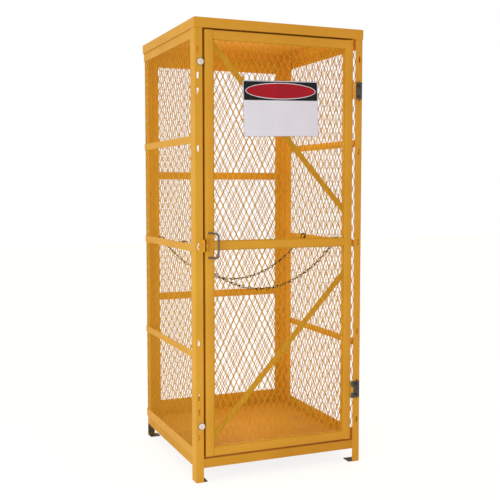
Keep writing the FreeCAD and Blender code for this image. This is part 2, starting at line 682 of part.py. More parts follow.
def door_brace(name, at_latch, at_hinge):
    """A diagonal flat bar between the stiles, behind the mesh."""
    body = new_body(name, (f"{LATCH_EDGE} + door_tube", f"{DOOR_MESH_FACE} + mesh_sheet", "0"))
    bar = new_sketch(body, name + "_outline", "XZ_Plane")
    half = f"brace_width / 2 * sqrt(1 + (({at_latch} - {at_hinge}) / {DOOR_INNER_WIDTH}) ^ 2)"
    outline(bar, [("0", f"{at_latch} - {half}"), (DOOR_INNER_WIDTH, f"{at_hinge} - {half}"),
                  (DOOR_INNER_WIDTH, f"{at_hinge} + {half}"), ("0", f"{at_latch} + {half}")])
    pad(body, bar, name + "_thickness", "brace_sheet", towards_minus=True)
    node(body, name)


def door_mesh():
    """One sheet above the middle rail and one below it, between the frame's tubes."""
    width = (size("body_width") - 2 * size("post_face") - size("latch_gap")
             - size("hinge_gap") - 2 * size("door_tube"))
    rail_low = size("mid_rail_centre") - size("mid_rail") / 2
    rail_high = size("mid_rail_centre") + size("mid_rail") / 2
    foot = size("tray_top") + size("door_foot_gap") + size("door_tube")
    head = (size("full_height") - size("cap_flange") - size("door_head_gap")
            - size("door_tube"))
    x = f"{LATCH_EDGE} + door_tube"
    group("door_mesh",
          [mesh_sheet("door_mesh_lower", width, rail_low - foot, False,
                      (x, DOOR_MESH_FACE, f"{DOOR_FOOT} + door_tube")),
           mesh_sheet("door_mesh_upper", width, head - rail_high, False,
                      (x, DOOR_MESH_FACE, "mid_rail_centre + mid_rail / 2"))])


def handle_bend(name, centre, towards, round_to):
    """A quarter of a round bar's ring, from one direction to another."""
    bend = DOC.addObject("Part::Torus", name)
    bend.setExpression("Radius1", rule("handle_bend"))
    bend.setExpression("Radius2", rule("handle_rod / 2"))
    bend.Angle3 = 90
    bend.Placement.Rotation = FreeCAD.Rotation(towards, round_to, towards.cross(round_to), "XYZ")
    return place(bend, centre)


def door_handle():
    """A bent rod that stands off the latch stile and leans towards the hinges."""
    radius = "handle_rod / 2"
    straight_reach = "handle_reach - handle_bend"
    straight_half = "(handle_length / 2 - handle_bend)"
    out, up = Vector(0, -1, 0), Vector(0, 0, 1)
    bar = fuse("handle_bar", [
        rod("handle_lower_leg", radius, f"handle_rod + {straight_reach}",
            ("0", "handle_rod", "-handle_length / 2"), out),
        handle_bend("handle_lower_bend", ("0", f"-({straight_reach})", f"-{straight_half}"),
                    -up, out),
        rod("handle_grip", radius, f"2 * {straight_half}",
            ("0", "-handle_reach", f"-{straight_half}")),
        handle_bend("handle_upper_bend", ("0", f"-({straight_reach})", straight_half),
                    out, up),
        rod("handle_upper_leg", radius, f"handle_rod + {straight_reach}",
            ("0", "handle_rod", "handle_length / 2"), out)])
    place(bar, (f"{LATCH_EDGE} + handle_from_edge", FRONT_FACE, "mid_rail_centre"))
    bar.Placement.Rotation = FreeCAD.Rotation(up, 1)
    bar.setExpression(".Placement.Rotation.Angle", rule("handle_turn"))
    behind = block("handle_trim", ("door_tube", "door_depth", "2 * handle_length"),
                   (LATCH_EDGE, FRONT_FACE, "mid_rail_centre - handle_length"))
    node(cut("door_handle", bar, behind), "door_handle")


def cage():
    """Everything that stands still."""
    for hand, side in ((1, "left"), (-1, "right")):
        for way, row in ((1, "front"), (-1, "rear")):
            corner_post(f"post_{row}_{side}", hand, way)
            foot_plate(f"foot_{row}_{side}", hand, way)
        side_panel(side, hand)
    roof_cap()
    floor_tray()
    back_panel()
    chain_eyes()
    chain_tube("chain_front", FRONT_CHAIN, "eye_front")
    chain_tube("chain_rear", REAR_CHAIN, "eye_rear")
    door_buffers()
    padlock_lug("padlock_lug_post", "-body_width / 2 + post_face - lug_sheet")


def door():
    """Everything that turns on the hinges."""
    door_frame()
    door_brace("door_brace_upper", f"({DOOR_HEAD} - brace_drop)",
               "(mid_rail_centre + brace_spread)")
    door_brace("door_brace_lower", f"({DOOR_FOOT} + brace_rise)",
               "(mid_rail_centre - brace_spread)")
    door_mesh()
    door_handle()
    padlock_lug("padlock_lug_door", LATCH_EDGE)
    node(block("sign_plate", ("sign_width", "sign_sheet", "sign_height"),
               (f"({LATCH_EDGE} + {HINGE_EDGE}) / 2 - sign_width / 2",
                f"{DOOR_MESH_FACE} - sign_sheet", f"{DOOR_HEAD} - sign_drop - sign_height")),
         "sign_plate")


def check_document():
    """Stop at any object that failed, and at any sub-part whose shape isn't sound."""
    for piece in DOC.Objects:
        bad = [state for state in piece.State if state in ("Invalid", "Error")]
        if bad:
            raise RuntimeError(f"{piece.Name} failed: {bad}")
    for piece in NODES:
        if piece.Shape.isNull() or not piece.Shape.isValid():
            raise RuntimeError(f"{piece.Label} has no sound shape")


cage()
door()
hinge("hinge_upper", HINGE_HIGH)
hinge("hinge_lower", HINGE_LOW)
DOC.recompute()
check_document()

os.makedirs("parts", exist_ok=True)
for piece in NODES:
    piece.Shape.exportStep(f"parts/{piece.Label}.step")
    print(f"{piece.Label}: {len(piece.Shape.Solids)} solids, {piece.Shape.Volume:.0f} mm3")
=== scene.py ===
"""Looks of a gas cylinder cage: folded sheet steel in golden powder coat, expanded mesh
panels, link chains, a hinged door and a blank sign plate."""

import json
import math

import bmesh
import bpy
from mathutils import Matrix, Vector


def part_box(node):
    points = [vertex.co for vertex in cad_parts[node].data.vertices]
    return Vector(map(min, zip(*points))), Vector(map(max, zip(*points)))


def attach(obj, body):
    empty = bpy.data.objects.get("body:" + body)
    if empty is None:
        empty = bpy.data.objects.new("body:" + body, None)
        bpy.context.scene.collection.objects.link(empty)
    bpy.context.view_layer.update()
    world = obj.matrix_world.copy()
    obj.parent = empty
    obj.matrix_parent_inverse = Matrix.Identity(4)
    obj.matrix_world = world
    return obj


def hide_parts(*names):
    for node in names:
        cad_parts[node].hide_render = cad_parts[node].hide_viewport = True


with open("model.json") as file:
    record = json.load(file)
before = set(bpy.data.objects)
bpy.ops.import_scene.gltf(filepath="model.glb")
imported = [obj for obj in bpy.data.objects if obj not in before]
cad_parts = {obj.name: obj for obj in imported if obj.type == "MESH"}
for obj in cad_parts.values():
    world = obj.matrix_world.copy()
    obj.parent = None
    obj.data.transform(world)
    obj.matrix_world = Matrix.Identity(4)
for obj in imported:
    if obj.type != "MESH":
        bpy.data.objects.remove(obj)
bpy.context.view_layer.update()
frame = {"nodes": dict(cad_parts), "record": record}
NODES = frame["nodes"]
BODY_OF = {name: body for body, names in frame["record"]["behaviour"]["bodies"].items()
           for name in names}
SLOT_OF = {part["node"]: part["material_slot"] for part in frame["record"]["subparts"]}
MM = 0.001
WHITE = (1, 1, 1, 1)


def new_object(name, data):
    """An object of its own in the scene."""
    made = bpy.data.objects.new(name, data)
    bpy.context.scene.collection.objects.link(made)
    return made


def applied(holder):
    """The plain mesh that an object's modifiers make of it."""
    graph = bpy.context.evaluated_depsgraph_get()
    return bpy.data.meshes.new_from_object(holder.evaluated_get(graph), depsgraph=graph)


# Camera

CAMERA_PLACE = (-1.5708, -3.8066, 1.2865)
CAMERA_TURN, CAMERA_DROP = 22.606, 4.242
CAMERA_LENS, CAMERA_SENSOR, CAMERA_REACH = 60.85, 36, 60


def place_camera():
    """The photograph's view: turned to the right and tipped down, in degrees."""
    camera = new_object("camera", bpy.data.cameras.new("camera"))
    camera.data.sensor_width = CAMERA_SENSOR
    camera.data.lens = CAMERA_LENS
    camera.data.clip_end = CAMERA_REACH
    camera.location = CAMERA_PLACE
    camera.rotation_euler = (math.radians(90 - CAMERA_DROP), 0, math.radians(-CAMERA_TURN))
    bpy.context.scene.camera = camera


place_camera()


# Node tree helpers

class Tree:
    """A node tree that is written as calls: each node takes its inputs by name."""

    def __init__(self, tree):
        self.tree = tree

    def node(self, kind, settings=None, **inputs):
        """A new node with its settings, and its inputs fed by name."""
        made = self.tree.nodes.new(kind)
        for name, value in (settings or {}).items():
            setattr(made, name, value)
        for name, value in inputs.items():
            self.feed(made, name.replace("_", " "), value)
        return made

    def feed(self, node, name, value):
        """Link an input or set its value; a name in digits is the input's number."""
        socket = node.inputs[int(name)] if name.isdigit() else node.inputs[name]
        if isinstance(value, bpy.types.Node):
            value = value.outputs[0]
        if isinstance(value, bpy.types.NodeSocket):
            self.tree.links.new(value, socket)
        else:
            socket.default_value = value

    def math(self, operation, *values):
        made = self.node("ShaderNodeMath", {"operation": operation})
        for number, value in enumerate(values):
            self.feed(made, str(number), value)
        return made.outputs[0]

    def between(self, share, first, second):
        """A colour between two others, or between two patterns."""
        mix = self.node("ShaderNodeMix", {"data_type": "RGBA"})
        for number, value in (("0", share), ("6", first), ("7", second)):
            self.feed(mix, number, value)
        return mix.outputs[2]

    def seen(self):
        """One where a ray comes from the camera, a mirror or glass, else nothing."""
        ray = self.node("ShaderNodeLightPath")
        return self.math("MAXIMUM", ray.outputs["Is Camera Ray"], self.math(
            "MAXIMUM", ray.outputs["Is Glossy Ray"], ray.outputs["Is Transmission Ray"]))


class Shader(Tree):
    """A surface built on one Principled shader, with patterns on Object coordinates."""

    def __init__(self, name):
        self.material = bpy.data.materials.new(name)
        self.material.use_nodes = True
        super().__init__(self.material.node_tree)
        self.tree.nodes.clear()
        self.surface = self.node("ShaderNodeBsdfPrincipled")
        self.output = self.node("ShaderNodeOutputMaterial", Surface=self.surface)
        self.place = self.node("ShaderNodeTexCoord").outputs["Object"]

    def set(self, **inputs):
        for name, value in inputs.items():
            self.feed(self.surface, name.replace("_", " "), value)
        return self

    def noise(self, scale, detail=2.0, roughness=0.5, vector=None):
        return self.node("ShaderNodeTexNoise", Vector=vector or self.place, Scale=scale,
                         Detail=detail, Roughness=roughness).outputs["Fac"]

    def spread(self, value, low, high, to_low, to_high):
        """A value's range stretched over another, and held at its ends."""
        return self.node("ShaderNodeMapRange", Value=value, From_Min=low, From_Max=high,
                         To_Min=to_low, To_Max=to_high).outputs[0]

    def mottle(self, scale, detail, low=0.0, high=1.0, roughness=0.5):
        """Noise whose middle range is stretched over the given values."""
        return self.spread(self.noise(scale, detail, roughness), 0.3, 0.7, low, high)

    def bump(self, height, strength, distance):
        bump = self.node("ShaderNodeBump", Height=height, Strength=strength,
                         Distance=distance)
        self.feed(self.surface, "Normal", bump)


def rgb(red, green, blue):
    """A colour as it looks on screen, from 0 to 255, in the renderer's own numbers."""
    def linear(value):
        value /= 255
        return value / 12.92 if value < 0.04045 else ((value + 0.055) / 1.055) ** 2.4
    return linear(red), linear(green), linear(blue), 1.0


# Finishes

POWDER_SHEEN = 0.08
SCUFFS_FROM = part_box("floor_tray")[1].z - 0.5 * MM


def orange_peel(coat):
    """The fine skin of cured powder."""
    coat.bump(coat.noise(420.0, 2.0), 0.12, 0.0006)


def powder_coat(name, light, deep, gloss=0.46):
    """Cured powder: a fine orange peel, slow changes of tone and faint handling marks."""
    coat = Shader(name)
    speck = coat.spread(coat.noise(900.0, 1.0), 0.35, 0.65, 0.0, 0.35)
    share = coat.math("MULTIPLY_ADD", coat.mottle(5.0, 3.0), 0.65, speck)
    coat.set(Base_Color=coat.between(share, light, deep),
             Roughness=coat.mottle(38.0, 4.0, gloss - 0.07, gloss + 0.09),
             Specular_IOR_Level=POWDER_SHEEN)
    orange_peel(coat)
    return coat.material


def scuffed_coat(name, light, deep, scuff):
    """Powder coat under standing cylinders: thin arcs where steel has slid, on top only."""
    coat = Shader(name)
    base = coat.between(coat.math("MULTIPLY", coat.mottle(6.0, 3.0), 0.8), light, deep)
    warp = coat.node("ShaderNodeTexNoise", Vector=coat.place, Scale=2.2, Detail=1.0)
    line = coat.math("ABSOLUTE", coat.math("SUBTRACT", coat.noise(7.0, 0.0, 0.5,
                     warp.outputs["Color"]), 0.5))
    thin = coat.spread(line, 0.0, 0.006, 1.0, 0.0)
    height = coat.node("ShaderNodeSeparateXYZ", Vector=coat.place).outputs["Z"]
    level = coat.math("GREATER_THAN", height, SCUFFS_FROM)
    worn = coat.math("MULTIPLY", coat.math("MULTIPLY", thin, level),
                     coat.spread(coat.noise(9.0, 2.0), 0.48, 0.62, 0.0, 0.6))
    coat.set(Base_Color=coat.between(worn, base, scuff),
             Roughness=coat.mottle(38.0, 4.0, 0.46, 0.62), Specular_IOR_Level=POWDER_SHEEN)
    orange_peel(coat)
    return coat.material


def bare_steel(name, light, deep, rough):
    """Zinc-plated steel with a mottled grain."""
    steel = Shader(name)
    grain = steel.mottle(160.0, 4.0, roughness=0.6)
    steel.set(Base_Color=steel.between(grain, light, deep), Metallic=0.9,
              Roughness=steel.mottle(90.0, 3.0, rough - 0.08, rough + 0.1))
    steel.bump(steel.noise(600.0, 2.0), 0.1, 0.0003)
    return steel.material


def dark_paint(name, light, deep, gloss):
    """Enamel on small steel parts, a little uneven in tone and gloss."""
    paint = Shader(name)
    paint.set(Base_Color=paint.between(paint.mottle(30.0, 4.0), light, deep),
              Roughness=paint.mottle(70.0, 3.0, gloss - 0.06, gloss + 0.1))
    paint.bump(paint.noise(500.0, 2.0), 0.15, 0.0004)
    return paint.material


def moulded_rubber(name, light, deep):
    """Pale rubber with the soft grain of its mould."""
    rubber = Shader(name)
    rubber.set(Base_Color=rubber.between(rubber.mottle(60.0, 3.0), light, deep),
               Roughness=rubber.mottle(140.0, 2.0, 0.45, 0.62))
    rubber.bump(rubber.noise(700.0, 2.0), 0.1, 0.0003)
    return rubber.material


def printed_plate(name, colour, shade):
    """A smooth plastic face in one printed colour, with a slight sheen variation."""
    plate = Shader(name)
    plate.set(Base_Color=plate.between(plate.mottle(14.0, 3.0), colour, shade),
              Roughness=plate.mottle(45.0, 2.0, 0.3, 0.42), Specular_IOR_Level=0.22)
    plate.bump(plate.noise(260.0, 2.0), 0.05, 0.0003)
    return plate.material


FINISH = {
    "frame_coat": powder_coat("frame powder coat", rgb(225, 161, 58), rgb(214, 149, 50)),
    "mesh_coat": powder_coat("mesh powder coat", rgb(213, 159, 42), rgb(200, 146, 34), 0.52),
    "hinge_steel": dark_paint("hinge enamel", rgb(80, 74, 70), rgb(52, 46, 42), 0.46),
    # The foot plates' dark brown is painted shade from under the cage; the rear legs' feet share
    # it.
    "foot_steel": dark_paint("foot plate enamel", rgb(104, 80, 44), rgb(70, 56, 36), 0.55),
    "chain_steel": bare_steel("chain zinc", rgb(88, 74, 58), rgb(50, 42, 33), 0.5),
    "buffer_cap": moulded_rubber("buffer rubber", rgb(238, 222, 220), rgb(222, 200, 192)),
    "handle_coat": dark_paint("handle enamel", rgb(102, 84, 74), rgb(76, 63, 56), 0.36),
    "sign_panel": printed_plate("sign white", rgb(232, 226, 244), rgb(227, 221, 240)),
}
# The tray's two base colours are deeper than the frame's coat: painted shade for the tray inside
# the cage. Its scuff lines are real wear.
TRAY_COAT_IN_PAINTED_SHADE = scuffed_coat("tray powder coat", rgb(216, 152, 50), rgb(204, 138, 42),
                         rgb(186, 118, 36))
# The braces take a deeper tone of the frame's coat: painted shade for braces that sit behind the
# mesh.
BRACE_COAT_IN_PAINTED_SHADE = powder_coat("brace powder coat", rgb(214, 152, 46), rgb(204, 142, 40))
SIGN_EDGE = printed_plate("sign edge", rgb(150, 146, 152), rgb(136, 132, 138))
SIGN_BLACK = printed_plate("sign black", rgb(9, 9, 10), rgb(16, 16, 17))
SIGN_RED = printed_plate("sign red", rgb(176, 12, 34), rgb(160, 10, 30))
BOLT_BLACK = dark_paint("bolt black", rgb(62, 50, 42), rgb(42, 34, 28), 0.34)
BOLT_STEEL = bare_steel("bolt steel", rgb(120, 108, 98), rgb(84, 76, 70), 0.4)


# Pieces

def add_piece(name, mesh, body, slot, *stands_for):
    """A finished mesh as a piece that rides on a body and may stand for CAD nodes."""
    piece = new_object(name, mesh)
    if stands_for:
        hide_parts(*stands_for)
    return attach(piece, body)


def grown(name, tree, carrier, values):
    """The plain mesh that a Geometry Nodes tree makes from a carrier mesh."""
    seed = new_object(name + "_seed", carrier)
    modifier = seed.modifiers.new("nodes", "NODES")
    modifier.node_group = tree
    sockets = {item.name: item.identifier for item in tree.interface.items_tree
               if item.item_type == "SOCKET" and item.in_out == "INPUT"}
    for label, value in values.items():
        modifier[sockets[label]] = value
    mesh = applied(seed)
    mesh.name = name
    bpy.data.objects.remove(seed)
    return mesh


def new_growth(name, inputs):
    """A Geometry Nodes tree with named inputs, its Group Input and a way to close it."""
    tree = bpy.data.node_groups.new(name, "GeometryNodeTree")
    tree.interface.new_socket("Geometry", in_out="OUTPUT", socket_type="NodeSocketGeometry")
    tree.interface.new_socket("Carrier", in_out="INPUT", socket_type="NodeSocketGeometry")
    for label, kind in inputs:
        tree.interface.new_socket(label, in_out="INPUT", socket_type="NodeSocket" + kind)
    net = Tree(tree)
    given = net.node("NodeGroupInput")
    return net, {socket.name: socket for socket in given.outputs if socket.name}


def finish_growth(net, geometry, material):
    """Close a tree: plain geometry with its finish."""
    whole = net.node("GeometryNodeRealizeInstances", Geometry=geometry)
    coated = net.node("GeometryNodeSetMaterial", Geometry=whole, Material=material)
    net.node("NodeGroupOutput", Geometry=coated)
    return net.tree


# Expanded mesh

MESH_PITCH = (15.3 * MM, 30.6 * MM)
TWIN_GAP, STRAND_JOIN = 0.02 * MM, 0.01 * MM


def expanded_mesh_tree():
    """Strands that zigzag between knuckles. Each lattice point gets two half diamonds' worth
    of strand side by side, one lifted and one lowered, and the sheet is cut at its edges."""
    net, given = new_growth("expanded mesh", [
        ("Width", "Float"), ("Height", "Float"), ("Columns", "Int"), ("Rows", "Int"),
        ("Strand Width", "Float"), ("Strand Thickness", "Float"),
        ("Knuckle Length", "Float"), ("Knuckle Lift", "Float"), ("Edge Width", "Float"),
        ("Finish", "Material")])
    width, height = given["Width"], given["Height"]
    across = net.math("DIVIDE", width, given["Columns"])
    up = net.math("DIVIDE", height, given["Rows"])

    # Five points bend each strand: two ends, two corners of its knuckle and the middle
    step = net.math("SUBTRACT", net.node("GeometryNodeInputIndex"), 2.0)
    at_end = net.math("GREATER_THAN", net.math("ABSOLUTE", step), 1.5)

    def pick(near, far):
        """One value for the three points of the knuckle, another for the ends."""
        choice = net.node("GeometryNodeSwitch", {"input_type": "FLOAT"})
        net.feed(choice, "0", at_end)
        net.feed(choice, "1", near)
        net.feed(choice, "2", far)
        return choice.outputs[0]

    seam = net.math("MULTIPLY_ADD", given["Strand Width"], -0.5, -TWIN_GAP)
    corner = net.node(
        "ShaderNodeCombineXYZ",
        X=pick(seam, net.math("MULTIPLY", across, -0.5)),
        Y=pick(net.math("MULTIPLY", step, net.math("MULTIPLY", given["Knuckle Length"], 0.5)),
               net.math("MULTIPLY", net.math("SIGN", step), net.math("MULTIPLY", up, 0.5))),
        Z=pick(given["Knuckle Lift"], 0.0))
    line = net.node("GeometryNodeMeshLine", Count=5)
    bent = net.node("GeometryNodeSetPosition", Geometry=line, Position=corner)
    curve = net.node("GeometryNodeMeshToCurve", Mesh=bent)
    upright = net.node("GeometryNodeSetCurveNormal", {"mode": "Z_UP"}, Curve=curve)
    profile = net.node("GeometryNodeCurvePrimitiveQuadrilateral",
                       Width=given["Strand Width"], Height=given["Strand Thickness"])
    strand = net.node("GeometryNodeCurveToMesh", Curve=upright, Profile_Curve=profile)
    twin = net.node("GeometryNodeTransform", Geometry=strand, Rotation=(0, math.pi, 0))
    pair = net.node("GeometryNodeJoinGeometry")
    for part in (strand, twin):
        net.tree.links.new(part.outputs[0], pair.inputs[0])

    grid = net.node("GeometryNodeMeshGrid", Size_X=width, Size_Y=height,
                    Vertices_X=net.math("ADD", given["Columns"], 1.0),
                    Vertices_Y=net.math("ADD", given["Rows"], 1.0))
    spot = net.node("ShaderNodeSeparateXYZ", Vector=net.node("GeometryNodeInputPosition"))

    def place_in(value, whole, pitch):
        """The number of a grid point along one side."""
        return net.math("ROUND", net.math(
            "DIVIDE", net.math("MULTIPLY_ADD", whole, 0.5, value), pitch))

    count = net.math("ADD", place_in(spot.outputs[0], width, across),
                     place_in(spot.outputs[1], height, up))
    odd = net.math("GREATER_THAN", net.math("MODULO", count, 2.0), 0.5)
    points = net.node("GeometryNodeDeleteGeometry", {"domain": "POINT"}, Geometry=grid,
                      Selection=odd)
    knots = net.node("GeometryNodeInstanceOnPoints", Points=points, Instance=pair)
    strands = net.node("GeometryNodeRealizeInstances", Geometry=knots)
    past = net.math("GREATER_THAN", net.math("MAXIMUM",
                    net.math("SUBTRACT", net.math("ABSOLUTE", spot.outputs[0]),
                             net.math("MULTIPLY", width, 0.5)),
                    net.math("SUBTRACT", net.math("ABSOLUTE", spot.outputs[1]),
                             net.math("MULTIPLY", height, 0.5))), 0.0)
    trimmed = net.node("GeometryNodeDeleteGeometry", {"domain": "FACE"}, Geometry=strands,
                       Selection=past)
    welded = net.node("GeometryNodeMergeByDistance", Geometry=trimmed, Distance=STRAND_JOIN)

    sheet = net.node("GeometryNodeJoinGeometry")
    net.tree.links.new(welded.outputs[0], sheet.inputs[0])
    edge = given["Edge Width"]
    thick = given["Strand Thickness"]
    for sign in (-0.5, 0.5):
        for sizes, run in (((edge, height, thick), 0), ((width, edge, thick), 1)):
            strip = net.node("GeometryNodeMeshCube", Size=net.node(
                "ShaderNodeCombineXYZ", X=sizes[0], Y=sizes[1], Z=sizes[2]))
            reach = net.math("MULTIPLY", net.math("SUBTRACT", (width, height)[run], edge), sign)
            shift = net.node("ShaderNodeCombineXYZ", **{"XY"[run]: reach})
            moved = net.node("GeometryNodeTransform", Geometry=strip, Translation=shift)
            net.tree.links.new(moved.outputs[0], sheet.inputs[0])
    return finish_growth(net, sheet, given["Finish"])


EXPANDED = expanded_mesh_tree()


def mesh_panel(name, low, high, along_y):
    """A sheet of expanded mesh that fills a flat box, in metres."""
    middle = (low + high) / 2
    size = high - low
    width, height = (size.y if along_y else size.x), size.z
    mesh = grown(name, EXPANDED, bpy.data.meshes.new("empty"), {
        "Width": width, "Height": height,
        "Columns": round(width / MESH_PITCH[0]), "Rows": round(height / MESH_PITCH[1]),
        "Strand Width": 2.9 * MM, "Strand Thickness": 1.2 * MM,
        "Knuckle Length": 9 * MM, "Knuckle Lift": 0.3 * MM, "Edge Width": 4 * MM,
        "Finish": FINISH["mesh_coat"]})
    upright = Matrix.Rotation(math.pi / 2, 4, "X")
    if along_y:
        upright = Matrix.Rotation(math.pi / 2, 4, "Z") @ upright
    mesh.transform(Matrix.Translation(middle) @ upright)
    return mesh


for side in ("left", "right", "back"):
    low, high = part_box(side + "_mesh")
    add_piece(side + "_mesh_strands", mesh_panel(side + "_mesh_strands", low, high,
                                                 side != "back"),
              "cage", "mesh_coat", side + "_mesh")

low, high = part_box("door_mesh")
rail_low, rail_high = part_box("door_mid_rail")
for part, foot, head in (("lower", low.z, rail_low.z), ("upper", rail_high.z, high.z)):
    name = f"door_mesh_{part}_strands"
    mesh = mesh_panel(name, Vector((low.x, low.y, foot)), Vector((high.x, high.y, head)), False)
    add_piece(name, mesh, "door", "mesh_coat", "door_mesh")


# Chains

# Each chain: its depth, then points across and up from eye to eye, in millimetres
ROUTES = {
    "chain_front": (-193, [
        (-374, 1023), (-326, 966), (-268, 911), (-198, 865), (-122, 830), (-42, 812),
        (38, 813), (118, 831), (193, 865), (264, 912), (324, 967), (374, 1023)]),
    "chain_rear": (167, [
        (-374, 1023), (-325, 970), (-266, 917), (-197, 873), (-121, 840), (-40, 823),
        (42, 824), (122, 841), (197, 873), (266, 918), (325, 970), (374, 1023)]),
}
LINK_PITCH, LINK_WIRE, LINK_OUTSIDE = 22 * MM, 3.7 * MM, 12 * MM
FIRST_LINK = 6.8 * MM


def route_line(name, depth, points):
    """The smooth line of a hanging chain, as a mesh of edges read from its spline."""
    curve = bpy.data.curves.new(name + "_route", "CURVE")
    curve.dimensions = "3D"
    curve.resolution_u = 10
    spline = curve.splines.new("NURBS")
    spline.points.add(len(points) - 1)
    for point, (x, z) in zip(spline.points, points):
        point.co = (x * MM, depth * MM, z * MM, 1)
    spline.order_u = 3
    spline.use_endpoint_u = True
    holder = bpy.data.objects.new(name + "_route", curve)
    line = bpy.data.meshes.new_from_object(holder)
    bpy.data.objects.remove(holder)
    return line


def chain_tree():
    """Welded oval links along the carrier, each a quarter turn from the last."""
    net, given = new_growth("link chain", [
        ("Links", "Int"), ("Pitch", "Float"), ("Wire", "Float"), ("Outside", "Float"),
        ("First Link", "Float"), ("Sway", "Float"), ("Seed", "Int"), ("Finish", "Material")])
    curve = net.node("GeometryNodeMeshToCurve", Mesh=given["Carrier"])
    length = net.node("GeometryNodeCurveLength", Curve=curve)
    trimmed = net.node("GeometryNodeTrimCurve", {"mode": "LENGTH"}, Curve=curve)
    net.feed(trimmed, "4", given["First Link"])
    net.feed(trimmed, "5", net.math("SUBTRACT", length, given["First Link"]))
    spaced = net.node("GeometryNodeResampleCurve", {"mode": "COUNT"}, Curve=trimmed,
                      Count=given["Links"])
    side = net.math("SUBTRACT", given["Outside"], given["Wire"])
    oval = net.node("GeometryNodeCurvePrimitiveQuadrilateral",
                    Width=net.math("ADD", given["Pitch"], given["Wire"]), Height=side)
    nearly_half = 0.498
    rounded = net.node("GeometryNodeFilletCurve", {"mode": "POLY"}, Curve=oval, Count=5,
                       Radius=net.math("MULTIPLY", side, nearly_half))
    wire = net.node("GeometryNodeCurvePrimitiveCircle", {"mode": "RADIUS"}, Resolution=8,
                    Radius=net.math("MULTIPLY", given["Wire"], 0.5))
    link = net.node("GeometryNodeCurveToMesh", Curve=rounded, Profile_Curve=wire)
    smooth = net.node("GeometryNodeSetShadeSmooth", Geometry=link)
    along = net.node("FunctionNodeAxesToRotation", Primary_Axis=net.node(
        "GeometryNodeInputTangent"), Secondary_Axis=(0.0, 1.0, 0.0))
    along.primary_axis, along.secondary_axis = "X", "Y"
    index = net.node("GeometryNodeInputIndex")
    sway = net.node("FunctionNodeRandomValue", {"data_type": "FLOAT"})
    net.feed(sway, "2", net.math("MULTIPLY", given["Sway"], -1.0))
    net.feed(sway, "3", given["Sway"])
    net.feed(sway, "8", given["Seed"])
    roll = net.math("MULTIPLY_ADD", net.math("MODULO", index, 2.0), math.pi / 2,
                    sway.outputs[1])
    turn = net.node("FunctionNodeEulerToRotation",
                    Euler=net.node("ShaderNodeCombineXYZ", X=roll))
    facing = net.node("FunctionNodeRotateRotation", {"rotation_space": "LOCAL"},
                      Rotation=along, Rotate_By=turn)
    links = net.node("GeometryNodeInstanceOnPoints", Points=spaced, Instance=smooth,
                     Rotation=facing)
    return finish_growth(net, links, given["Finish"])


LINKS = chain_tree()
for name, (depth, points) in ROUTES.items():
    line = route_line(name, depth, points)
    path = [vertex.co.copy() for vertex in line.vertices]
    run = sum((b - a).length for a, b in zip(path, path[1:]))
    links = round((run - 2 * FIRST_LINK) / LINK_PITCH) + 1
    pitch = (run - 2 * FIRST_LINK) / (links - 1)
    mesh = grown(name + "_links", LINKS, line, {
        "Links": links, "Pitch": pitch, "Wire": LINK_WIRE, "Outside": LINK_OUTSIDE,
        "First Link": FIRST_LINK, "Sway": 0.12, "Seed": len(points) + links,
        "Finish": FINISH["chain_steel"]})
    chain = add_piece(name + "_links", mesh, "cage", "chain_steel", name)


# Sheet steel, tubes and small parts from the CAD solids, with real edges

LONG_FOLD, SHORT_EDGE = 250 * MM, 4 * MM
FLAT, CORNER, CREASE = math.radians(1), math.radians(40), math.radians(32)
EASED = 0.35 * MM


def finished(mesh, form, finish, sharp=CREASE):
    """A form put into its mesh in one finish, smooth but for its sharp edges."""
    form.to_mesh(mesh)
    form.free()
    mesh.materials.clear()
    mesh.materials.append(finish)
    mesh.shade_smooth()
    mesh.set_sharp_from_angle(angle=sharp)
    return mesh


def softened(node, fold, edge, mesh=None):
    """A copy of a CAD node with its doubles merged, long folds rounded and edges eased."""
    mesh = mesh or NODES[node].data.copy()
    mesh.name = node + "_steel"
    form = bmesh.new()
    form.from_mesh(mesh)
    bmesh.ops.remove_doubles(form, verts=form.verts, dist=2e-6)
    bmesh.ops.dissolve_limit(form, angle_limit=FLAT, verts=form.verts, edges=form.edges)

    def convex(low_length, least_width):
        """Outer edges at least so long, between faces at least so wide."""
        return [e for e in form.edges if len(e.link_faces) == 2 and e.is_convex
                and e.calc_face_angle() > CORNER
                and e.calc_length() >= low_length
                and all(face.calc_area() > least_width * e.calc_length()
                        for face in e.link_faces)]

    if fold:
        bmesh.ops.bevel(form, geom=convex(LONG_FOLD, 2.2 * fold), offset=fold, segments=3,
                        profile=0.5, affect="EDGES", clamp_overlap=True)
    if edge:
        bmesh.ops.bevel(form, geom=convex(SHORT_EDGE, 0), offset=edge, segments=1, profile=0.5,
                        affect="EDGES", clamp_overlap=True)
    return finished(mesh, form, FINISH[SLOT_OF[node]])


def folded_post(node):
    """The two plates of a post as one section, so that its fold can be rounded."""
    whole, other = (new_object(part + "_plate", NODES[part].data.copy())
                    for part in (node, node + "_side"))
    modifier = whole.modifiers.new("join", "BOOLEAN")
    modifier.operation, modifier.solver, modifier.object = "UNION", "EXACT", other
    mesh = applied(whole)
    for half in (whole, other):
        bpy.data.objects.remove(half)
    return mesh


# How far each panel's foot is brought down over the tray, in millimetres
LAPS = {"back_bottom_rail": 6, "back_stile_left": 6, "back_stile_right": 6,
        "left_bottom_rail": 1.5, "right_bottom_rail": 1.5}


def lap_over_tray(mesh, lap):
    """Bring a panel's foot down over the tray's folded edge, so that no light shows there."""
    foot = min(vertex.co.z for vertex in mesh.vertices)
    for vertex in mesh.vertices:
        if vertex.co.z < foot + 1 * MM:
            vertex.co.z -= lap * MM


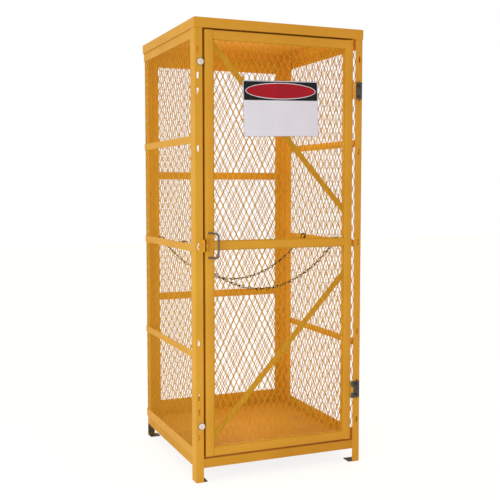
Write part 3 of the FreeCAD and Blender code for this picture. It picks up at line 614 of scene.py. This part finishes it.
# Outside radius of the folds, in millimetres
POST_FOLD = 2.2
FOLDS = {"door_stile_latch": 2.6, "door_stile_hinge": 2.6, "door_top_rail": 2.6,
         "door_bottom_rail": 2.6, "door_mid_rail": 2.6, "roof_cap": 2.2, "floor_tray": 5.0}
MADE_ANEW = {"left_mesh", "right_mesh", "back_mesh", "door_mesh", "chain_front",
             "chain_rear", "sign_plate", "door_buffers"}
POSTS = [node for node in sorted(NODES) if node.startswith("post_")
         and not node.endswith("_side")]
for node in POSTS:
    add_piece(node + "_steel", softened(node, POST_FOLD * MM, 0, folded_post(node)), "cage",
              "frame_coat", node, node + "_side")

for node in sorted(NODES):
    if node in MADE_ANEW or node.startswith("post_"):
        continue
    mesh = softened(node, FOLDS.get(node, 0) * MM, 0 if node in FOLDS else EASED)
    if node in LAPS:
        lap_over_tray(mesh, LAPS[node])
    add_piece(node + "_steel", mesh, BODY_OF[node], SLOT_OF[node], node)


def refinish(piece, finish):
    bpy.data.objects[piece].data.materials[0] = finish


def add_finish(piece, finish, has_it):
    """A second finish on the faces whose middle passes a test."""
    mesh = bpy.data.objects[piece].data
    mesh.materials.append(finish)
    for face in mesh.polygons:
        if has_it(face.center):
            face.material_index = 1


# The tray takes its coat in painted shade
refinish("floor_tray_steel", TRAY_COAT_IN_PAINTED_SHADE)
# The braces take their coat in painted shade
for brace in ("door_brace_upper", "door_brace_lower"):
    refinish(brace + "_steel", BRACE_COAT_IN_PAINTED_SHADE)

# The rear legs are dark up to the tray as painted shade, and the upper hinge's knuckles take the
# frame's colour
PAINTED_SHADE_LEG_TOP = 61 * MM
for post in ("post_rear_left", "post_rear_right"):
    mesh = bpy.data.objects[post + "_steel"].data
    form = bmesh.new()
    form.from_mesh(mesh)
    bmesh.ops.bisect_plane(form, geom=form.verts[:] + form.edges[:] + form.faces[:],
                           plane_co=(0, 0, PAINTED_SHADE_LEG_TOP), plane_no=(0, 0, 1))
    form.to_mesh(mesh)
    form.free()
    add_finish(post + "_steel", FINISH["foot_steel"], lambda middle: middle.z < PAINTED_SHADE_LEG_TOP)

# The upper hinge's knuckles take the frame's colour; the lower hinge's stay dark.
hinge_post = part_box("post_front_right")[0].x
add_finish("hinge_upper_post_leaf_steel", FINISH["frame_coat"],
           lambda middle: middle.x < hinge_post)


# Door stops: strips behind the latch post and under the roof, on which the closed door rests

def strip(name, section, run, finish):
    """A straight strip of sheet, from the corners of its section and how far it runs."""
    mesh = bpy.data.meshes.new(name)
    form = bmesh.new()
    face = form.faces.new([form.verts.new(corner) for corner in section])
    raised = bmesh.ops.extrude_face_region(form, geom=[face])["geom"]
    bmesh.ops.translate(form, verts=[v for v in raised if isinstance(v, bmesh.types.BMVert)],
                        vec=run)
    bmesh.ops.recalc_face_normals(form, faces=form.faces)
    bmesh.ops.bevel(form, geom=form.edges[:], offset=0.3 * MM, segments=1, profile=0.5,
                    affect="EDGES", clamp_overlap=True)
    return finished(mesh, form, finish)


STOP_SHEET, STOP_PAST_DOOR, BEHIND_DOOR = 2 * MM, 4 * MM, 1 * MM
LATCH_LAP, HEAD_LAP, HEAD_FLANGE = 9 * MM, 14 * MM, 18 * MM

latch_low, latch_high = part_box("door_stile_latch")
post_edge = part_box("post_front_left")[1]
front = latch_high.y + BEHIND_DOOR
back = front + STOP_SHEET
inner, lap = post_edge.x - STOP_SHEET, latch_low.x + LATCH_LAP
foot, head = latch_low.z - STOP_PAST_DOOR, latch_high.z + STOP_PAST_DOOR
latch_section = [(x, y, foot) for x, y in (
    (inner, post_edge.y), (post_edge.x, post_edge.y), (post_edge.x, front), (lap, front),
    (lap, back), (inner, back))]
add_piece("latch_stop", strip("latch_stop", latch_section, (0, 0, head - foot),
                              FINISH["frame_coat"]), "cage", "frame_coat")

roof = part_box("roof_cap")[1].z - STOP_SHEET
lip, under, flange = latch_high.z - HEAD_LAP, roof - STOP_SHEET, back + HEAD_FLANGE
head_section = [(post_edge.x, y, z) for y, z in (
    (front, lip), (back, lip), (back, under), (flange, under), (flange, roof),
    (front, roof))]
add_piece("head_stop", strip("head_stop", head_section, (-2 * post_edge.x, 0, 0),
                             FINISH["frame_coat"]), "cage", "frame_coat")


# Buffers: domed rubber on a steel washer, held by a screw

def turned(name, profile, centre, finish, steps=40):
    """A part turned about an axis along Y, from its radii and distances out of the face."""
    mesh = bpy.data.meshes.new(name)
    form = bmesh.new()
    rings = [[form.verts.new((centre[0] + radius * MM * math.cos(math.tau * k / steps),
                              centre[1] - out * MM,
                              centre[2] + radius * MM * math.sin(math.tau * k / steps)))
              for k in range(steps)] for radius, out in profile]
    for ring, following in zip(rings, rings[1:]):
        for k in range(steps):
            form.faces.new((ring[k], ring[(k + 1) % steps], following[(k + 1) % steps],
                            following[k]))
    form.faces.new(rings[-1])
    form.faces.new(rings[0])
    bmesh.ops.recalc_face_normals(form, faces=form.faces)
    return finished(mesh, form, finish, CORNER)


def joined(name, meshes):
    """Several meshes as one, with all their finishes."""
    form = bmesh.new()
    finishes = []
    for mesh in meshes:
        start = len(form.faces)
        form.from_mesh(mesh)
        form.faces.ensure_lookup_table()
        finish = mesh.materials[0]
        if finish not in finishes:
            finishes.append(finish)
        for face in form.faces[start:]:
            face.material_index = finishes.index(finish)
    whole = bpy.data.meshes.new(name)
    form.to_mesh(whole)
    form.free()
    for finish in finishes:
        whole.materials.append(finish)
    return whole


# Radii and distances out of the post's face, in millimetres
low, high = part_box("door_buffers")
radius = (high.x - low.x) / 2 / MM
reach = (high.y - low.y) / MM
heights = (low.z + radius * MM, high.z - radius * MM)
dome = [(radius - 1.2, 0.9), (radius, 1.2), (radius, reach * 0.62), (radius - 0.7, reach * 0.82),
        (radius - 2.2, reach * 0.95), (radius - 4.5, reach), (4.2, reach), (3.6, reach - 0.5),
        (3.4, reach - 1.4)]
screw = [(3.3, reach - 1.5), (3.3, reach - 0.9), (2.4, reach - 0.5), (1.2, reach - 0.5),
         (1.0, reach - 1.2)]
washer = [(radius + 2.2, 0), (radius + 2.4, 0.3), (radius + 2.2, 0.9), (radius - 2, 0.9)]
parts = []
for number, height in enumerate(heights):
    centre = ((low.x + high.x) / 2, high.y, height)
    parts += [turned(f"dome_{number}", dome, centre, FINISH["buffer_cap"]),
              turned(f"screw_{number}", screw, centre, FINISH["buffer_cap"], 16),
              turned(f"washer_{number}", washer, centre, BOLT_STEEL)]
add_piece("door_buffers_rubber", joined("door_buffers_rubber", parts), "cage", "buffer_cap",
          "door_buffers")


# Weld beads

LEAST_SCALE, GREATEST_SCALE = 0.82, 1.12


def bead_tree():
    """Overlapping scales of weld along each edge of the carrier."""
    net, given = new_growth("weld bead", [
        ("Scale Width", "Float"), ("Scale Step", "Float"), ("Seed", "Int"),
        ("Finish", "Material")])
    curve = net.node("GeometryNodeMeshToCurve", Mesh=given["Carrier"])
    spots = net.node("GeometryNodeResampleCurve", {"mode": "LENGTH"}, Curve=curve,
                     Length=given["Scale Step"])
    drop = net.node("GeometryNodeMeshIcoSphere", Subdivisions=2,
                    Radius=net.math("MULTIPLY", given["Scale Width"], 0.5))
    smooth = net.node("GeometryNodeSetShadeSmooth", Geometry=drop.outputs[0])
    uneven = net.node("FunctionNodeRandomValue", {"data_type": "FLOAT"})
    net.feed(uneven, "2", LEAST_SCALE)
    net.feed(uneven, "3", GREATEST_SCALE)
    net.feed(uneven, "8", given["Seed"])
    scales = net.node("GeometryNodeInstanceOnPoints", Points=spots, Instance=smooth,
                      Scale=net.node("ShaderNodeCombineXYZ", X=uneven.outputs[1],
                                     Y=uneven.outputs[1], Z=uneven.outputs[1]))
    return finish_growth(net, scales, given["Finish"])


BEAD = bead_tree()


def weld(name, body, runs, seed):
    """One mesh of beads along straight runs, each given by its two ends in millimetres."""
    carrier = bpy.data.meshes.new(name)
    ends = [tuple(value * MM for value in end) for run in runs for end in run]
    carrier.from_pydata(ends, [(k, k + 1) for k in range(0, len(ends), 2)], [])
    mesh = grown(name, BEAD, carrier, {
        "Scale Width": 3.2 * MM, "Scale Step": 1.5 * MM, "Seed": seed,
        "Finish": FINISH["frame_coat"]})
    add_piece(name, mesh, body, "frame_coat")


def box_mm(node):
    """The low and the high corner of a CAD node."""
    low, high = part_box(node)
    return [value / MM for value in low], [value / MM for value in high]


# Where beads end, in millimetres: past a fold, or short of an edge
PAST_FOLD, PAST_SMALL_FOLD, SHORT, ROOF_EDGE = 4, 3, 2, 1955
frame_runs = []
for side, way in (("left", -1), ("right", 1)):
    (x0, y0, z0), (x1, y1, z1) = box_mm(f"post_front_{side}_side")
    face = x1 if way < 0 else x0
    for rail in ("_bottom_rail", "_top_rail"):
        low, high = box_mm(side + rail)
        frame_runs.append(((face, y1, low[2] + PAST_FOLD),
                           (face, y1, min(high[2], ROOF_EDGE) - SHORT)))
    for foot in ("front", "rear"):
        low, high = box_mm(f"foot_{foot}_{side}")
        line = low[1] if foot == "front" else high[1]
        post = box_mm(f"post_{foot}_{side}")
        frame_runs.append(((max(low[0], post[0][0]) + SHORT, line, high[2]),
                           (min(high[0], post[1][0]) - SHORT, line, high[2])))
lug_low, lug_high = box_mm("padlock_lug_post")
frame_runs.append(((lug_low[0], lug_high[1], lug_low[2] + SHORT),
                   (lug_low[0], lug_high[1], lug_high[2] - SHORT)))
weld("frame_welds", "cage", frame_runs, 11)

door_runs = []
door_foot, door_head = (end[2] for end in box_mm("door_stile_latch"))
for rail in ("door_top_rail", "door_mid_rail", "door_bottom_rail"):
    low, high = box_mm(rail)
    for x in (low[0], high[0]):
        for z in (low[2], high[2]):
            # The door's own foot and head stay free of beads
            if door_foot + 1 < z < door_head - 1:
                door_runs.append(((x, low[1] + PAST_SMALL_FOLD, z), (x, high[1] - SHORT, z)))
lug_low, lug_high = box_mm("padlock_lug_door")
door_runs.append(((lug_high[0], lug_high[1], lug_low[2] + SHORT),
                  (lug_high[0], lug_high[1], lug_high[2] - SHORT)))
weld("door_welds", "door", door_runs, 12)

LEG_AXIS, LEG_RADIUS, RING_RADIUS, RING_SIDES = -343, 4.5, 4.6, 14
handle_low, handle_high = box_mm("door_handle")
rings = []
for z in (handle_low[2] + LEG_RADIUS, handle_high[2] - LEG_RADIUS):
    turns = [math.tau * k / RING_SIDES for k in range(RING_SIDES)]
    round_leg = [(LEG_AXIS + RING_RADIUS * math.cos(turn), handle_high[1],
                  z + RING_RADIUS * math.sin(turn)) for turn in turns]
    rings += list(zip(round_leg, round_leg[1:] + round_leg[:1]))
weld("handle_welds", "door", rings, 13)


# Sign plate: blank colour fields

SIGN_TILT = math.radians(-1.5)


def flat_shape(name, outlines, thickness, centre, material):
    """A thin plate in the door's plane from an outer ring of points and its holes."""
    curve = bpy.data.curves.new(name, "CURVE")
    curve.dimensions = "2D"
    curve.fill_mode = "BOTH"
    curve.extrude = thickness / 2
    for ring in outlines:
        spline = curve.splines.new("POLY")
        spline.points.add(len(ring) - 1)
        for point, (x, y) in zip(spline.points, ring):
            point.co = (x, y, 0, 1)
        spline.use_cyclic_u = True
    holder = bpy.data.objects.new(name, curve)
    mesh = bpy.data.meshes.new_from_object(holder)
    bpy.data.objects.remove(holder)
    mesh.name = name
    mesh.transform(Matrix.Translation(centre) @ Matrix.Rotation(SIGN_TILT, 4, "Y")
                   @ Matrix.Rotation(math.pi / 2, 4, "X"))
    mesh.materials.clear()
    mesh.materials.append(material)
    return mesh


def rounded_rectangle(width, height, radius, steps=6):
    """A ring of points round the origin, corner by corner."""
    ring = []
    for k in range(4):
        centre = Vector(((width / 2 - radius) * (1, -1, -1, 1)[k],
                         (height / 2 - radius) * (1, 1, -1, -1)[k]))
        for s in range(steps + 1):
            angle = (k + s / steps) * math.pi / 2
            ring.append((centre.x + radius * math.cos(angle),
                         centre.y + radius * math.sin(angle)))
    return ring


def ellipse(width, height, steps=64):
    return [(width / 2 * math.cos(math.tau * k / steps),
             height / 2 * math.sin(math.tau * k / steps)) for k in range(steps)]


def shifted(ring, up):
    """The same ring, higher."""
    return [(x, y + up) for x, y in ring]


FILM, CORNER_RADIUS, FIELD_RADIUS = 0.2 * MM, 4 * MM, 3 * MM
EDGE_WIDTH, RING_WIDTH, HEADER_MARGIN = 1.3 * MM, 3.2 * MM, 4 * MM
HEADER_SHARE, OVAL_ACROSS, OVAL_UP = 0.335, 0.935, 0.88

sign_low, sign_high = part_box("sign_plate")
size, middle = sign_high - sign_low, (sign_low + sign_high) / 2
plate = rounded_rectangle(size.x, size.z, CORNER_RADIUS)
add_piece("sign_plate_blank",
          flat_shape("sign_plate_blank", [plate], size.y, middle, FINISH["sign_panel"]),
          "door", "sign_panel", "sign_plate")
header = HEADER_SHARE * size.z
header_up = size.z / 2 - HEADER_MARGIN - header / 2
front = Vector((middle.x, sign_low.y - FILM / 2, middle.z))
oval_width, oval_height = OVAL_ACROSS * size.x, OVAL_UP * header
layers = [
    ("sign_border", [plate, rounded_rectangle(size.x - 2 * EDGE_WIDTH,
                                              size.z - 2 * EDGE_WIDTH, FIELD_RADIUS)],
     SIGN_EDGE),
    ("sign_header", [rounded_rectangle(size.x - 2 * HEADER_MARGIN, header, FIELD_RADIUS),
                     ellipse(oval_width, oval_height)], SIGN_BLACK),
    ("sign_oval", [ellipse(oval_width - 2 * RING_WIDTH, oval_height - 2 * RING_WIDTH)],
     SIGN_RED),
]
for name, rings, material in layers:
    up = 0 if name == "sign_border" else header_up
    mesh = flat_shape(name, [shifted(ring, up) for ring in rings], FILM, front, material)
    add_piece(name, mesh, "door", "sign_panel")


# Hinge bolts and sign rivets

def fastener_tree():
    """A washer and a six-sided head on each carrier point, facing out of the door side."""
    net, given = new_growth("hex bolts", [
        ("Head Width", "Float"), ("Head Height", "Float"), ("Washer Width", "Float"),
        ("Washer Height", "Float"), ("Turn", "Float"), ("Seed", "Int"),
        ("Finish", "Material")])
    washer = net.node("GeometryNodeMeshCylinder", Vertices=24,
                      Radius=net.math("MULTIPLY", given["Washer Width"], 0.5),
                      Depth=given["Washer Height"])
    head = net.node("GeometryNodeMeshCylinder", Vertices=6,
                    Radius=net.math("MULTIPLY", given["Head Width"], 0.5),
                    Depth=given["Head Height"])
    dome = net.node("GeometryNodeMeshCone", Vertices=24, Radius_Top=net.math(
        "MULTIPLY", given["Head Width"], 0.34), Radius_Bottom=net.math(
        "MULTIPLY", given["Head Width"], 0.42), Depth=net.math(
        "MULTIPLY", given["Head Height"], 0.14))
    both = net.math("ADD", given["Washer Height"], given["Head Height"])
    parts = net.node("GeometryNodeJoinGeometry")
    for part, lift in ((washer, net.math("MULTIPLY", given["Washer Height"], 0.5)),
                       (head, net.math("MULTIPLY_ADD", given["Head Height"], 0.5,
                                       given["Washer Height"])),
                       (dome, both)):
        moved = net.node("GeometryNodeTransform", Geometry=part.outputs[0],
                         Translation=net.node("ShaderNodeCombineXYZ", Z=lift))
        net.tree.links.new(moved.outputs[0], parts.inputs[0])
    spin = net.node("FunctionNodeRandomValue", {"data_type": "FLOAT"})
    net.feed(spin, "3", given["Turn"])
    net.feed(spin, "8", given["Seed"])
    facing = net.node("FunctionNodeRotateRotation", {"rotation_space": "LOCAL"},
                      Rotation=net.node("FunctionNodeEulerToRotation",
                                        Euler=(math.pi / 2, 0.0, 0.0)),
                      Rotate_By=net.node("FunctionNodeEulerToRotation", Euler=net.node(
                          "ShaderNodeCombineXYZ", Z=spin.outputs[1])))
    placed = net.node("GeometryNodeInstanceOnPoints", Points=given["Carrier"],
                      Instance=parts, Rotation=facing)
    return finish_growth(net, placed, given["Finish"])


def points_mesh(points):
    """A carrier of loose points."""
    mesh = bpy.data.meshes.new("points")
    mesh.from_pydata([tuple(p) for p in points], [], [])
    return mesh


BOLTS = fastener_tree()
BOLT_LINE, BOLT_RISE, KNUCKLES_OUT = 386 * MM, 25 * MM, 8.5 * MM
bolt_points = []
for hinge in ("hinge_upper_post_leaf", "hinge_lower_post_leaf"):
    low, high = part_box(hinge)
    for way in (-1, 1):
        bolt_points.append((BOLT_LINE, low.y + KNUCKLES_OUT,
                            (low.z + high.z) / 2 + way * BOLT_RISE))
mesh = grown("hinge_bolts", BOLTS, points_mesh(bolt_points), {
    "Head Width": 10 * MM, "Head Height": 4 * MM, "Washer Width": 14 * MM,
    "Washer Height": 1.2 * MM, "Turn": math.pi / 3, "Seed": 7, "Finish": BOLT_BLACK})
add_piece("hinge_bolts", mesh, "cage", "hinge_steel")


rivet_head = [(3.4, 0), (3.4, 0.4), (2.6, 1.0), (1.4, 1.3), (0.9, 1.0)]
FROM_SIGN_EDGE = Vector((9, 0, 10)) * MM
rivet_reach = size / 2 - FROM_SIGN_EDGE
rivets = []
for across in (-1, 1):
    for up, finish in ((-1, FINISH["sign_panel"]), (1, SIGN_BLACK)):
        spot = (Matrix.Rotation(SIGN_TILT, 4, "Y")
                @ Vector((across * rivet_reach.x, 0, up * rivet_reach.z)))
        rivets.append(turned(f"rivet_{len(rivets)}", rivet_head, Vector((
            middle.x, sign_low.y - FILM, middle.z)) + spot, finish, 20))
add_piece("sign_rivets", joined("sign_rivets", rivets), "door", "sign_panel")


# Floor, light and background

STAGE_REACH, GLOW, GLOW_SHARE = 15, 1.2, 0.7


def white_stage():
    """White to the camera and in reflections, with the object's own soft shadow."""
    stage = Shader("studio floor")
    stage.set(Base_Color=rgb(240, 232, 220), Roughness=0.9)
    glow = stage.node("ShaderNodeEmission", Color=WHITE, Strength=GLOW)
    mixed = stage.node("ShaderNodeMixShader",
                       Fac=stage.math("MULTIPLY", stage.seen(), GLOW_SHARE))
    stage.tree.links.new(stage.surface.outputs[0], mixed.inputs[1])
    stage.tree.links.new(glow.outputs[0], mixed.inputs[2])
    stage.tree.links.new(mixed.outputs[0], stage.output.inputs[0])
    return stage.material


floor_mesh = bpy.data.meshes.new("floor")
floor_mesh.from_pydata([(x * STAGE_REACH, y * STAGE_REACH, 0)
                        for x, y in ((-1, -1), (1, -1), (1, 1), (-1, 1))], [],
                       [(0, 1, 2, 3)])
floor_mesh.materials.append(white_stage())
floor = new_object("floor", floor_mesh)


def soft_box(name, place, aim, size, power, colour):
    """A studio lamp with a broad rectangular face, turned to its aim."""
    light = bpy.data.lights.new(name, "AREA")
    light.color = colour
    light.shape = "RECTANGLE"
    light.size, light.size_y = size
    light.energy = power
    lamp = new_object(name, light)
    lamp.location = place
    lamp.rotation_euler = (Vector(aim) - Vector(place)).to_track_quat("-Z", "Y").to_euler()


soft_box("left_box", (-4.8, -0.8, 1.6), (0, 0, 1), (2.4, 2.6), 60, (0.66, 0.98, 0.7))
soft_box("front_box", (-1.9, -2.4, 0.6), (-0.3, -0.4, 0.8), (1.2, 1.6), 30, (0.6, 1.0, 1.0))
soft_box("top_box", (0, 0.5, 5.2), (0, 0, 1), (3.5, 3.5), 20, (1.0, 1.0, 1.0))

# Light that the coated walls throw back inside the cage: height and power
FILL_WIDTH, FILL_COLOUR = 0.2, (1.0, 0.82, 0.6)
for level, power in ((0.45, 1.8), (1.05, 1.6), (1.62, 2.9)):
    light = bpy.data.lights.new("inner_fill", "POINT")
    light.energy, light.shadow_soft_size, light.color = power, FILL_WIDTH, FILL_COLOUR
    new_object("inner_fill", light).location = (0, 0.05, level)

# A warm room of even light on the object, plain white where it is seen or mirrored
ROOM_LIGHT, ROOM_TINT = 0.73, (1.0, 0.87, 0.78, 1)
world = bpy.data.worlds.new("studio")
bpy.context.scene.world = world
world.use_nodes = True
sky = Tree(world.node_tree)
sky.tree.nodes.clear()
seen = sky.seen()
strength = sky.math("MULTIPLY_ADD", seen, 1 - ROOM_LIGHT, ROOM_LIGHT)
background = sky.node("ShaderNodeBackground", Color=sky.between(seen, ROOM_TINT, WHITE),
                      Strength=strength)
sky.node("ShaderNodeOutputWorld", Surface=background)

bpy.context.scene.view_settings.view_transform = "Standard"
